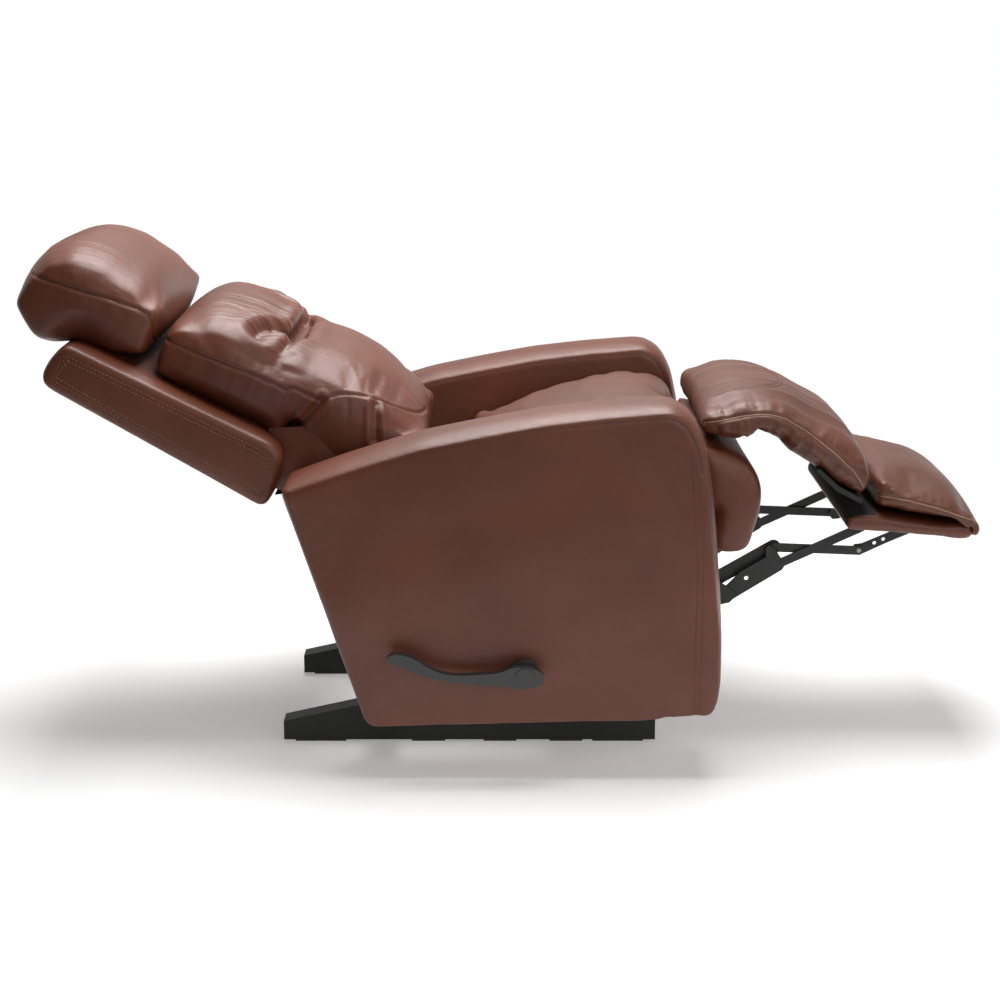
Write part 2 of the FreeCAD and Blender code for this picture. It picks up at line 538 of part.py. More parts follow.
def lever():
    side_x = -ARM_OUTER
    outline = Part.BSplineCurve()
    outline.interpolate(Points=[at(point, side_x - LEVER_LIFT) for point in LEVER_PROFILE], PeriodicFlag=True)
    paddle = Part.Face(Part.Wire(outline.toShape())).extrude(FreeCAD.Vector(-LEVER_THICK, 0, 0))
    hub = rod(SHAFT_AT, HUB_RADIUS, side_x - LEVER_LIFT - HUB_THICK, side_x - LEVER_LIFT)
    shaft = rod(SHAFT_AT, SHAFT_RADIUS, side_x - LEVER_LIFT, SHAFT_END)
    save(paddle.fuse(hub).removeSplitter(), "lever_handle")
    save(shaft, "drive_shaft")
    boss = rod(SHAFT_AT, BOSS_RADIUS, side_x - BOSS_THICK, side_x - 0.3)
    save(boss.cut(shaft), "lever_boss")


base()
arms()
cross_rails()
rocker_cams()
rocker_springs()
back_hinges()
back()
seat()
springs()
mechanism()
legrest()
linkage()
lever()
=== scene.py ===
import json
import math

import bmesh
import bpy
import numpy as np
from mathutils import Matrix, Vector
from mathutils.bvhtree import BVHTree


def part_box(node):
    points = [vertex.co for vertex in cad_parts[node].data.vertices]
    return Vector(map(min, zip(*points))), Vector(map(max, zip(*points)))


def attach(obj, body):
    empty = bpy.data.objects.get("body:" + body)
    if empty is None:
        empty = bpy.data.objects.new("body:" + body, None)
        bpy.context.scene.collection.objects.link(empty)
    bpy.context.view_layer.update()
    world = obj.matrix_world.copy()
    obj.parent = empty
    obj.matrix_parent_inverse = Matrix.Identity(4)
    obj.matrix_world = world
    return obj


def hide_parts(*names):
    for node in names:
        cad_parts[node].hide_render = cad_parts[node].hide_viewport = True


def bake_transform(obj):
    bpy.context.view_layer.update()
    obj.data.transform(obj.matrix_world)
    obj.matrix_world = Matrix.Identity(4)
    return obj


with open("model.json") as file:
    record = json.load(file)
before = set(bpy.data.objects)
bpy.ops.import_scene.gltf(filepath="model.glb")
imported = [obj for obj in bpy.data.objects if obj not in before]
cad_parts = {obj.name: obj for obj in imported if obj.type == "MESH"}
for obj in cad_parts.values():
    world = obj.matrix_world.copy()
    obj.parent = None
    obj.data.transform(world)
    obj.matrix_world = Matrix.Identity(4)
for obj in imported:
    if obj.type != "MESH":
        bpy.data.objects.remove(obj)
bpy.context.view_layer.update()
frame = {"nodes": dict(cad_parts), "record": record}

# A rocker recliner in semi-gloss red-brown leather.  Metres, +Z up, the chair faces -Y.
# Profiles are (forward, height) pairs, where forward is -Y.

VOXEL = 0.006              # remesh size of the soft pieces
CLOTH_FRAMES = 12
CLOTH_PRESSURE = 4.0
SEED = 7
SIDES = {"left": 1.0, "right": -1.0}

# ---- small tools --------------------------------------------------------


def section(node, x=0.0):
    """The closed (forward, height) outline of a CAD node in the plane at lateral place x."""
    work = bmesh.new()
    work.from_mesh(frame["nodes"][node].data)
    bmesh.ops.bisect_plane(work, geom=work.verts[:] + work.edges[:] + work.faces[:], plane_co=(x, 0, 0),
                           plane_no=(1, 0, 0), clear_inner=True, clear_outer=True)
    bmesh.ops.remove_doubles(work, verts=work.verts[:], dist=1e-5)
    loops = []
    left = set(work.verts)
    while left:
        loop = [left.pop()]
        while True:
            step = [e.other_vert(loop[-1]) for e in loop[-1].link_edges if e.other_vert(loop[-1]) in left]
            if not step:
                break
            left.discard(step[0])
            loop.append(step[0])
        loops.append(np.array([(-v.co.y, v.co.z) for v in loop]))
    work.free()
    return clockwise(max(loops, key=lambda loop: abs(area(loop))))


def area(loop):
    f, z = loop[:, 0], loop[:, 1]
    return 0.5 * float(np.sum(f * np.roll(z, -1) - np.roll(f, -1) * z))


def clockwise(loop):
    """The same loop, running up the rear, forwards over the top and back underneath."""
    return loop[::-1] if area(loop) > 0 else loop


def joined(rear, front, split):
    """One outline round two outlines that meet at the forward place split."""
    rear_part = cut_open(rear, rear[:, 0] < split - 0.0035)
    front_part = cut_open(front, front[:, 0] > split + 0.0035)
    return np.vstack([rear_part, front_part])


def cut_open(loop, keep):
    """The kept points of a loop, in order, starting after the gap."""
    count = len(loop)
    start = next(i for i in range(count) if keep[i] and not keep[i - 1])
    order = [(start + i) % count for i in range(count)]
    return loop[[i for i in order if keep[i]]]


def resample(loop, spacing):
    """Evenly spaced points round a closed outline."""
    closed = np.vstack([loop, loop[:1]])
    run = np.concatenate([[0.0], np.cumsum(np.linalg.norm(np.diff(closed, axis=0), axis=1))])
    count = max(24, int(round(run[-1] / spacing)))
    place = np.linspace(0, run[-1], count, endpoint=False)
    return np.stack([np.interp(place, run, closed[:, k]) for k in (0, 1)], axis=1)


def smooth(loop, passes):
    for _ in range(passes):
        loop = 0.5 * loop + 0.25 * (np.roll(loop, 1, axis=0) + np.roll(loop, -1, axis=0))
    return loop


def normals_2d(loop):
    """Outward normals of a clockwise outline."""
    along = np.roll(loop, -1, axis=0) - np.roll(loop, 1, axis=0)
    along /= np.linalg.norm(along, axis=1)[:, None] + 1e-12
    return np.stack([-along[:, 1], along[:, 0]], axis=1)


def ease(value, low, high):
    t = np.clip((value - low) / (high - low), 0.0, 1.0)
    return t * t * (3 - 2 * t)


def new_object(name, vertices, faces):
    mesh = bpy.data.meshes.new(name)
    mesh.from_pydata([tuple(v) for v in vertices], [], faces)
    mesh.update()
    piece = bpy.data.objects.new(name, mesh)
    bpy.context.scene.collection.objects.link(piece)
    return piece


def shade_smooth(piece):
    piece.data.polygons.foreach_set("use_smooth", np.ones(len(piece.data.polygons), bool))
    piece.data.update()


def get_co(piece):
    co = np.zeros(len(piece.data.vertices) * 3)
    piece.data.vertices.foreach_get("co", co)
    return co.reshape(-1, 3)


def set_co(piece, co):
    piece.data.vertices.foreach_set("co", co.ravel())
    piece.data.update()


def get_normals(piece):
    values = np.zeros(len(piece.data.vertices) * 3)
    piece.data.vertex_normals.foreach_get("vector", values)
    return values.reshape(-1, 3)


def soft_normals(piece, passes=6):
    """Normals averaged over the neighbourhood, so that a push along them stays smooth at sharp rims."""
    normal = get_normals(piece)
    ends = np.zeros(len(piece.data.edges) * 2, int)
    piece.data.edges.foreach_get("vertices", ends)
    a, b = ends.reshape(-1, 2).T
    for _ in range(passes):
        total = normal.copy()
        np.add.at(total, a, normal[b])
        np.add.at(total, b, normal[a])
        normal = total / (np.linalg.norm(total, axis=1)[:, None] + 1e-12)
    return normal


def apply_modifiers(piece):
    """Replaces the piece's mesh by what its modifiers make of it."""
    graph = bpy.context.evaluated_depsgraph_get()
    mesh = bpy.data.meshes.new_from_object(piece.evaluated_get(graph), depsgraph=graph)
    piece.modifiers.clear()
    piece.data = mesh


def remesh(piece, size=VOXEL):
    modifier = piece.modifiers.new("remesh", "REMESH")
    modifier.mode = "VOXEL"
    modifier.voxel_size = size
    apply_modifiers(piece)


def subdivide(piece, levels=1):
    modifier = piece.modifiers.new("subdivide", "SUBSURF")
    modifier.levels = levels
    modifier.render_levels = levels
    apply_modifiers(piece)


def relax(piece, passes, factor=0.5):
    modifier = piece.modifiers.new("relax", "SMOOTH")
    modifier.factor = factor
    modifier.iterations = passes
    apply_modifiers(piece)


def polyline(points, spacing=0.003):
    """Evenly spaced points along an open run of 3-D points."""
    points = np.asarray(points, float)
    run = np.concatenate([[0.0], np.cumsum(np.linalg.norm(np.diff(points, axis=0), axis=1))])
    count = max(2, int(run[-1] / spacing))
    place = np.linspace(0, run[-1], count)
    return np.stack([np.interp(place, run, points[:, k]) for k in range(3)], axis=1)


def nearest(co, line):
    """For each point, the distance to a dense line and the index of the nearest point on it."""
    distance = np.full(len(co), 1e9)
    index = np.zeros(len(co), int)
    step = 400
    low, high = line.min(0) - 0.09, line.max(0) + 0.09
    near = np.where(np.all((co > low) & (co < high), axis=1))[0]
    for start in range(0, len(near), step * 10):
        part = near[start:start + step * 10]
        gaps = np.linalg.norm(co[part][:, None, :] - line[None, :, :], axis=2)
        index[part] = gaps.argmin(1)
        distance[part] = gaps.min(1)
    return distance, index


def wave(values, length, seed):
    """Smooth one-dimensional noise from -1 to 1, with features about length long."""
    rng = np.random.default_rng(seed)
    total = np.zeros_like(values)
    for octave, share in ((1.0, 0.6), (1.9, 0.3), (3.3, 0.18)):
        phase = rng.uniform(0, 2 * math.pi)
        drift = rng.uniform(0, 2 * math.pi)
        total += share * np.sin(2 * math.pi * octave * values / length + phase
                                + 1.3 * np.sin(2 * math.pi * values / (length * 2.7) + drift))
    return total


# ---- soft bodies --------------------------------------------------------


def soft_body(name, outline, half, drop=0.0, free=(0.0, 1.0), facing_range=(-0.1, 0.8), bulge=0.012,
              edge=0.014, shrink=0.004, round_over=0.06, hold=0.10, spacing=0.010, level_ends=0.0, sink=0.0):
    """A stuffed block: an outline pushed along X that rounds over into softly swollen end panels.
    Where the outline faces the free direction its sides sit lower than its middle by drop; elsewhere
    only the last round_over metres turn in, by edge.  level_ends fills valleys in the top outline
    towards the sides."""
    outline = smooth(resample(outline, spacing), 2)
    filled = fill_valley(outline) if level_ends else outline
    n2 = normals_2d(smooth(filled, 3))
    free = np.array(free) / np.linalg.norm(free)
    facing = ease(n2 @ free, *facing_range)
    reach = half - bulge
    stations = reach * np.sin(np.linspace(-math.pi / 2, math.pi / 2, 84))
    wide = max(round_over, hold * 2)
    rows = []
    for x in stations:
        share = abs(x) / reach
        turn = max(0.0, (abs(x) - (reach - round_over)) / round_over)
        fall = max(0.0, (abs(x) - (reach - wide)) / wide)
        inset = (edge * (1 - facing)) * (1 - math.sqrt(max(0.0, 1 - turn ** 2)))
        inset = inset + (drop * facing) * (1 - math.sqrt(max(0.0, 1 - fall ** 2.2))) + shrink + sink * facing
        level = level_ends * ease(share, 0.45, 0.98)
        flat = outline + (filled - outline) * level - n2 * inset[:, None]
        rows.append(np.stack([np.full(len(flat), x), -flat[:, 0], flat[:, 1]], axis=1))
    caps = []
    for side, ring in ((-1, rows[0]), (1, rows[-1])):
        middle = ring.mean(0)
        rings = []
        for k in (0.975, 0.92, 0.8, 0.62, 0.42, 0.2):
            inner = middle + (ring - middle) * k
            inner[:, 0] = side * (reach + bulge * (1 - k ** 3.5))
            rings.append(inner)
        caps.append(rings)
    grid = caps[0][::-1] + rows + caps[1]
    count = len(outline)
    vertices = np.vstack(grid + [centre_of(grid[0]), centre_of(grid[-1])])
    faces = []
    for j in range(len(grid) - 1):
        for i in range(count):
            k = (i + 1) % count
            faces.append((j * count + i, j * count + k, (j + 1) * count + k, (j + 1) * count + i))
    last = (len(grid) - 1) * count
    tip = len(grid) * count
    for i in range(count):
        k = (i + 1) % count
        faces.append((k, i, tip))
        faces.append((last + i, last + k, tip + 1))
    piece = new_object(name, vertices, faces)
    work = bmesh.new()
    work.from_mesh(piece.data)
    bmesh.ops.recalc_face_normals(work, faces=work.faces[:])
    work.to_mesh(piece.data)
    work.free()
    rims = [np.vstack([ring, ring[:1]]) for ring in (rows[0], rows[-1])]
    return piece, rims


def seen_from_side(piece, points, side):
    """A line given as (forward, height) points, laid on a piece as seen square on from one side."""
    tree = tree_of(piece)
    flat = np.array(points, float)
    run = np.concatenate([[0.0], np.cumsum(np.linalg.norm(np.diff(flat, axis=0), axis=1))])
    place = np.linspace(0, run[-1], max(6, int(run[-1] / 0.006)))
    row = np.stack([np.interp(place, run, flat[:, k]) for k in (0, 1)], axis=1)
    for _ in range(2):
        row[1:-1] = (row[:-2] + 2 * row[1:-1] + row[2:]) / 4
    found = []
    for forward, height in row:
        spot, _, _, _ = tree.ray_cast(Vector((side * 1.2, -forward, height)), Vector((-side, 0, 0)))
        if spot is not None:
            found.append(np.array(spot))
    return np.array(found)


def on_box(name, shares):
    """Points given as shares of a CAD node's length and height, as (forward, height)."""
    low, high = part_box(name)
    rear, front = -high.y, -low.y
    return [(rear + (front - rear) * a, low.z + (high.z - low.z) * b) for a, b in shares]


def both(piece, points):
    return [seen_from_side(piece, points, side) for side in (-1, 1)]


def fill_valley(loop):
    """The same outline with every dip in its top side raised to a straight line across the dip."""
    filled = loop.copy()
    top = np.where(normals_2d(smooth(loop, 6))[:, 1] > -0.2)[0]
    hull = []
    order = top[np.argsort(loop[top, 0])]
    for i in order:
        while len(hull) > 1:
            a, b = loop[hull[-2]], loop[hull[-1]]
            turn = (b[0] - a[0]) * (loop[i, 1] - a[1]) - (b[1] - a[1]) * (loop[i, 0] - a[0])
            if turn < 0:
                break
            hull.pop()
        hull.append(i)
    low, high = loop[hull[0], 0], loop[hull[-1], 0]
    for i in top:
        if low < loop[i, 0] < high:
            level = np.interp(loop[i, 0], loop[hull, 0], loop[hull, 1])
            filled[i, 1] = max(filled[i, 1], level)
    return smooth(filled, 2)


def nudged(loop, moves):
    """The same outline, pushed outwards near each given place: (forward, height, reach, amount)."""
    loop = resample(loop, 0.008)
    n2 = normals_2d(smooth(loop, 3))
    push = np.zeros(len(loop))
    for forward, height, reach, amount in moves:
        distance = np.linalg.norm(loop - np.array([forward, height]), axis=1)
        push += amount * np.exp(-(distance / reach) ** 2)
    return loop + n2 * push[:, None]


def moves_on(name, rows):
    """Moves for nudged, whose places are given as shares of a CAD node's length and height."""
    return [(*on_box(name, [(length, height)])[0], reach, amount) for length, height, reach, amount in rows]


def centre_of(ring):
    return ring.mean(0)[None, :]


def puff(piece, seams, cap, pressure=CLOTH_PRESSURE, pin_reach=0.006):
    """Swells a closed piece with cloth simulation, held along its seams, then adds one subdivision."""
    remesh(piece)
    rest = get_co(piece)
    away = np.full(len(rest), 1e9)
    for line in seams:
        away = np.minimum(away, nearest(rest, polyline(line))[0])
    group = piece.vertex_groups.new(name="seam")
    group.add([int(i) for i in np.where(away < pin_reach)[0]], 1.0, "REPLACE")
    cloth = piece.modifiers.new("puff", "CLOTH")
    cloth.settings.quality = 3
    cloth.settings.use_pressure = True
    cloth.settings.uniform_pressure_force = pressure
    cloth.settings.effector_weights.gravity = 0.0
    cloth.settings.vertex_group_mass = "seam"
    cloth.settings.bending_stiffness = 2.0
    cloth.point_cache.frame_start = 1
    cloth.point_cache.frame_end = CLOTH_FRAMES
    for number in range(1, CLOTH_FRAMES + 1):
        bpy.context.scene.frame_set(number)
    graph = bpy.context.evaluated_depsgraph_get()
    swollen = piece.evaluated_get(graph).to_mesh()
    moved = np.zeros(len(rest) * 3)
    swollen.vertices.foreach_get("co", moved)
    piece.evaluated_get(graph).to_mesh_clear()
    move = moved.reshape(-1, 3) - rest
    length = np.linalg.norm(move, axis=1) + 1e-12
    move *= (np.minimum(length, cap) / length)[:, None]
    piece.modifiers.clear()
    piece.vertex_groups.clear()
    bpy.context.scene.frame_set(1)
    set_co(piece, rest + move)
    relax(piece, 3)
    subdivide(piece)


def groove(piece, lines, depth=0.004, width=0.005, lip=0.0):
    """Sinks sewn lines into a piece; lip raises the leather just beside them."""
    co, normal = get_co(piece), soft_normals(piece)
    push = np.zeros(len(co))
    for line in lines:
        distance, _ = nearest(co, polyline(line))
        push -= depth * np.exp(-(distance / width) ** 2)
        push += lip * np.exp(-((distance - 2.4 * width) / width) ** 2)
    set_co(piece, co + normal * push[:, None])


def gather(piece, line, height, reach, length, seed):
    """Puckers that start at a seam and fade away from it."""
    co, normal = get_co(piece), soft_normals(piece)
    dense = polyline(line)
    distance, index = nearest(co, dense)
    run = np.concatenate([[0.0], np.cumsum(np.linalg.norm(np.diff(dense, axis=0), axis=1))])
    share = np.exp(-distance / reach) * ease(0.089 - distance, 0.0, 0.02) * ease(distance, 0.002, 0.016)
    push = height * wave(run[index], length, seed) * share
    set_co(piece, co + normal * push[:, None])


def crease(piece, height, length, across, seed, weight):
    """Long shallow wrinkles that run along one direction; weight says how much, per point."""
    co, normal = get_co(piece), soft_normals(piece)
    along = np.array([1.0, 0.0, 0.0]) if across == "x" else np.array([0.0, 1.0, 0.0])
    other = co[:, 1] if across == "x" else co[:, 0]
    bend = 0.35 * length * wave(co @ along, length * 6, seed + 1)
    push = height * wave(other + bend, length, seed) * weight(co)
    set_co(piece, co + normal * push[:, None])


def tree_of(piece):
    mesh = piece.data
    return BVHTree.FromPolygons([v.co for v in mesh.vertices], [p.vertices for p in mesh.polygons])


def on_surface(tree, points):
    """Each point's nearest place on a surface, with the surface's direction outwards there."""
    places, directions = [], []
    for point in points:
        place, direction, _, _ = tree.find_nearest(Vector(point))
        places.append(np.array(place))
        directions.append(np.array(direction))
    return np.array(places), np.array(directions)


def stitching(name, piece, lines, body, pitch=0.007, long=0.0046, radius=0.0006, lift=0.0003, paint=None):
    """Sewing thread: one short rounded stitch after another along lines on a piece."""
    tree = tree_of(piece)
    vertices, faces = [], []
    for line in lines:
        run = polyline(line, pitch)
        places, directions = on_surface(tree, run)
        for a, b, direction in zip(places, places[1:], directions):
            along = b - a
            reach = np.linalg.norm(along)
            if reach < 1e-5 or reach > 3 * pitch:
                continue
            along = along / reach
            side = np.cross(along, direction)
            side /= np.linalg.norm(side) + 1e-9
            middle = (a + b) / 2 + direction * lift
            base = len(vertices)
            for t, r in ((-0.5, 0.35), (-0.38, 0.9), (0.0, 1.0), (0.38, 0.9), (0.5, 0.35)):
                for k in range(5):
                    angle = 2 * math.pi * k / 5
                    dip = direction * (-radius * 1.2 * (2 * abs(t)) ** 2)
                    spot = side * math.cos(angle) + direction * math.sin(angle)
                    vertices.append(middle + along * t * long + dip + spot * radius * r)
            for ring in range(4):
                for k in range(5):
                    n = (k + 1) % 5
                    faces.append((base + ring * 5 + k, base + ring * 5 + n,
                                  base + ring * 5 + 5 + n, base + ring * 5 + 5 + k))
            faces.append(tuple(base + k for k in (4, 3, 2, 1, 0)))
            faces.append(tuple(base + 20 + k for k in range(5)))
    thread = new_object(name, vertices, faces)
    shade_smooth(thread)
    dress(thread, paint or THREAD, body)
    return thread


def piping(name, piece, lines, body, radius=0.0028, lift=0.0005, paint=None):
    """A thin leather-covered welt that lies in a seam."""
    tree = tree_of(piece)
    vertices, faces = [], []
    for line in lines:
        run = polyline(line, 0.004)
        places, directions = on_surface(tree, run)
        for _ in range(3):
            places[1:-1] = (places[:-2] + 2 * places[1:-1] + places[2:]) / 4
        along = np.gradient(places, axis=0)
        along /= np.linalg.norm(along, axis=1)[:, None] + 1e-9
        side = np.cross(along, directions)
        side /= np.linalg.norm(side, axis=1)[:, None] + 1e-9
        up = np.cross(side, along)
        base = len(vertices)
        for place, s, u in zip(places, side, up):
            for k in range(8):
                angle = 2 * math.pi * k / 8
                vertices.append(place + u * lift + radius * (s * math.cos(angle) + u * math.sin(angle)))
        count = len(places)
        for j in range(count - 1):
            for k in range(8):
                n = (k + 1) % 8
                faces.append((base + j * 8 + k, base + j * 8 + n, base + j * 8 + 8 + n, base + j * 8 + 8 + k))
        faces.append(tuple(base + k for k in range(7, -1, -1)))
        faces.append(tuple(base + (count - 1) * 8 + k for k in range(8)))
    welt = new_object(name, vertices, faces)
    shade_smooth(welt)
    dress(welt, paint or LEATHER, body)
    return welt


# ---- materials ----------------------------------------------------------


def shader(name):
    material = bpy.data.materials.new(name)
    material.use_nodes = True
    tree = material.node_tree
    bsdf = next(n for n in tree.nodes if n.type == "BSDF_PRINCIPLED")
    return material, tree, bsdf


def node(tree, kind, **inputs):
    made = tree.nodes.new(kind)
    for key, value in inputs.items():
        made.inputs[key.replace("_", " ")].default_value = value
    return made


def ramp(tree, source, low, high, colours):
    made = tree.nodes.new("ShaderNodeValToRGB")
    tree.links.new(source, made.inputs["Fac"])
    made.color_ramp.elements[0].position = low
    made.color_ramp.elements[1].position = high
    for element, colour in zip(made.color_ramp.elements, colours):
        element.color = (*colour, 1.0)
    return made.outputs["Color"]


def bump(tree, height, strength, distance, after=None):
    made = node(tree, "ShaderNodeBump", Strength=strength, Distance=distance)
    tree.links.new(height, made.inputs["Height"])
    if after is not None:
        tree.links.new(after, made.inputs["Normal"])
    return made.outputs["Normal"]


def leather(name, dark, light, rough=(0.34, 0.50), grain=0.35):
    """Top-grain leather: mottled colour, worn lighter edges, pebbled grain and fine creases."""
    material, tree, bsdf = shader(name)
    place = tree.nodes.new("ShaderNodeTexCoord").outputs["Object"]
    cloudy = node(tree, "ShaderNodeTexNoise", Scale=5.0, Detail=6.0, Roughness=0.6)
    pebble = node(tree, "ShaderNodeTexVoronoi", Scale=520.0)
    pebble.feature = "SMOOTH_F1"
    fine = node(tree, "ShaderNodeTexNoise", Scale=1400.0, Detail=3.0)
    crinkle = node(tree, "ShaderNodeTexNoise", Scale=38.0, Detail=7.0, Roughness=0.62, Distortion=1.2)
    for texture in (cloudy, pebble, fine, crinkle):
        tree.links.new(place, texture.inputs["Vector"])
    colour = ramp(tree, cloudy.outputs["Fac"], 0.32, 0.70, (dark, light))
    wear = tree.nodes.new("ShaderNodeNewGeometry").outputs["Pointiness"]
    worn = ramp(tree, wear, 0.485, 0.56, ((0.0, 0.0, 0.0), (1.0, 1.0, 1.0)))
    mix = tree.nodes.new("ShaderNodeMix")
    mix.data_type = "RGBA"
    tree.links.new(worn, mix.inputs["Factor"])
    tree.links.new(colour, mix.inputs["A"])
    lift = node(tree, "ShaderNodeHueSaturation", Value=1.25, Saturation=0.95)
    tree.links.new(colour, lift.inputs["Color"])
    tree.links.new(lift.outputs["Color"], mix.inputs["B"])
    tree.links.new(mix.outputs["Result"], bsdf.inputs["Base Color"])
    rough_map = tree.nodes.new("ShaderNodeMapRange")
    rough_map.inputs["To Min"].default_value = rough[0]
    rough_map.inputs["To Max"].default_value = rough[1]
    tree.links.new(crinkle.outputs["Fac"], rough_map.inputs["Value"])
    tree.links.new(rough_map.outputs["Result"], bsdf.inputs["Roughness"])
    normal = bump(tree, crinkle.outputs["Fac"], 0.30, 0.0022)
    normal = bump(tree, pebble.outputs["Distance"], grain, 0.0005, normal)
    normal = bump(tree, fine.outputs["Fac"], 0.12, 0.0002, normal)
    tree.links.new(normal, bsdf.inputs["Normal"])
    bsdf.inputs["Specular IOR Level"].default_value = 0.52
    bsdf.inputs["Coat Weight"].default_value = 0.09
    bsdf.inputs["Coat Roughness"].default_value = 0.32
    return material


def plain_hard(name, dark, light, rough, metallic=0.0, scale=60.0, grain=0.10, stretch=(1.0, 1.0, 1.0)):
    """Painted, plated or moulded surfaces with slight mottling and fine texture."""
    material, tree, bsdf = shader(name)
    place = tree.nodes.new("ShaderNodeTexCoord").outputs["Object"]
    mapping = tree.nodes.new("ShaderNodeMapping")
    mapping.inputs["Scale"].default_value = stretch
    tree.links.new(place, mapping.inputs["Vector"])
    cloudy = node(tree, "ShaderNodeTexNoise", Scale=scale, Detail=6.0, Roughness=0.6)
    fine = node(tree, "ShaderNodeTexNoise", Scale=scale * 22, Detail=2.0)
    for texture in (cloudy, fine):
        tree.links.new(mapping.outputs["Vector"], texture.inputs["Vector"])
    tree.links.new(ramp(tree, cloudy.outputs["Fac"], 0.3, 0.7, (dark, light)), bsdf.inputs["Base Color"])
    rough_map = tree.nodes.new("ShaderNodeMapRange")
    rough_map.inputs["To Min"].default_value = rough[0]
    rough_map.inputs["To Max"].default_value = rough[1]
    tree.links.new(cloudy.outputs["Fac"], rough_map.inputs["Value"])
    tree.links.new(rough_map.outputs["Result"], bsdf.inputs["Roughness"])
    tree.links.new(bump(tree, fine.outputs["Fac"], grain, 0.0003), bsdf.inputs["Normal"])
    bsdf.inputs["Metallic"].default_value = metallic
    return material


LEATHER_ROUGH = (0.40, 0.56)
LEATHER = leather("red_brown_leather", (0.090, 0.0185, 0.0048), (0.131, 0.0292, 0.0088), rough=LEATHER_ROUGH)
# A copy of the leather for the seat, calf and foot pads: the same leather made greyer, with the grey sheen of
# the overhead light painted into its colour.
PAD_LEATHER_PAINTED_SHEEN = leather("pad_leather_painted_sheen", (0.084, 0.0205, 0.0070), (0.118, 0.0325, 0.0135),
                       rough=LEATHER_ROUGH)
LINING = plain_hard("black_lining", (0.012, 0.011, 0.011), (0.022, 0.020, 0.020), (0.8, 0.95), scale=300.0)
THREAD = plain_hard("thread", (0.050, 0.020, 0.014), (0.075, 0.032, 0.024), (0.6, 0.8), scale=400.0)
PALE_THREAD = plain_hard("pale_thread", (0.17, 0.075, 0.045), (0.24, 0.115, 0.075), (0.6, 0.8), scale=400.0)
TAN_WELT = leather("tan_welt", (0.26, 0.15, 0.09), (0.34, 0.20, 0.13))
BLACK_STEEL = plain_hard("black_steel", (0.020, 0.020, 0.020), (0.032, 0.032, 0.031), (0.38, 0.52), 0.2)
ZINC = plain_hard("zinc_steel", (0.34, 0.34, 0.33), (0.52, 0.52, 0.50), (0.26, 0.42), 0.95)
BARE_WOOD = plain_hard("bare_wood", (0.34, 0.21, 0.11), (0.50, 0.34, 0.20), (0.55, 0.7), scale=16.0,
                       stretch=(1.0, 6.0, 6.0), grain=0.3)
BLACK_WOOD = plain_hard("black_wood", (0.004, 0.005, 0.004), (0.009, 0.010, 0.009), (0.45, 0.60), scale=30.0)
LEVER_PLASTIC = plain_hard("lever_plastic", (0.026, 0.026, 0.026), (0.031, 0.031, 0.030), (0.30, 0.36),
                           scale=9.0, grain=0.04)
SLOT_PAINT = {"leather": LEATHER, "steel": BLACK_STEEL, "bright_steel": ZINC, "wood": BARE_WOOD,
              "black_wood": BLACK_WOOD, "lever_plastic": LEVER_PLASTIC}


def dress(piece, material, body=None):
    piece.data.materials.clear()
    piece.data.materials.append(material)
    if body:
        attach(piece, body)


def finish_soft(piece, body, nodes, material=LEATHER):
    shade_smooth(piece)
    dress(piece, material, body)
    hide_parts(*nodes)


for sub in frame["record"]["subparts"]:
    solid = frame["nodes"][sub["node"]]
    solid.data.materials.clear()
    solid.data.materials.append(SLOT_PAINT[sub["material_slot"]])

# ---- camera, light and floor --------------------------------------------
CAMERA_PLACE = Vector((-3.963, 0.0, 1.274))
CAMERA_DOWN = math.radians(12.46)
camera_data = bpy.data.cameras.new("camera")
camera_data.lens = 77.5
camera_data.sensor_width = 36.0
camera = bpy.data.objects.new("camera", camera_data)
camera.location = CAMERA_PLACE
aim = Vector((math.cos(CAMERA_DOWN), 0.0, -math.sin(CAMERA_DOWN)))
camera.rotation_mode = "QUATERNION"
camera.rotation_quaternion = aim.to_track_quat("-Z", "Y")
bpy.context.scene.collection.objects.link(camera)
bpy.context.scene.camera = camera
bpy.context.scene.view_settings.view_transform = "Standard"


def area_light(name, place, target, size, power, colour=(1.0, 1.0, 1.0)):
    data = bpy.data.lights.new(name, "AREA")
    data.shape = "RECTANGLE"
    data.size, data.size_y = size
    data.energy = power
    data.color = colour
    lamp = bpy.data.objects.new(name, data)
    lamp.location = place
    lamp.rotation_mode = "QUATERNION"
    lamp.rotation_quaternion = (Vector(target) - Vector(place)).to_track_quat("-Z", "Y")
    bpy.context.scene.collection.objects.link(lamp)


area_light("overhead", (0.45, 0.0, 2.9), (0.05, 0.0, 0.4), (1.9, 2.8), 142.0)
area_light("side_fill", (-3.4, -1.6, 1.7), (0.0, 0.0, 0.5), (2.2, 1.6), 30.0)
area_light("front_fill", (-1.4, -3.2, 1.4), (0.0, -0.3, 0.45), (1.6, 1.6), 16.0)

# The surroundings are white low down behind the chair, and grey higher up and on the near side.
NEAR_GREY = 0.16
HIGH_GREY = 0.42
world = bpy.data.worlds.new("studio")
bpy.context.scene.world = world
world.use_nodes = True
sky = world.node_tree
backdrop = next(n for n in sky.nodes if n.type == "BACKGROUND")
direction = sky.nodes.new("ShaderNodeSeparateXYZ")
sky.links.new(sky.nodes.new("ShaderNodeTexCoord").outputs["Generated"], direction.inputs["Vector"])
fade = sky.nodes.new("ShaderNodeMapRange")
fade.interpolation_type = "SMOOTHSTEP"
fade.inputs["From Min"].default_value = -0.1
fade.inputs["From Max"].default_value = 0.6
fade.inputs["To Min"].default_value = NEAR_GREY
fade.inputs["To Max"].default_value = 1.02
sky.links.new(direction.outputs["X"], fade.inputs["Value"])
lid = sky.nodes.new("ShaderNodeMapRange")
lid.interpolation_type = "SMOOTHSTEP"
lid.inputs["From Min"].default_value = 0.02
lid.inputs["From Max"].default_value = 0.16
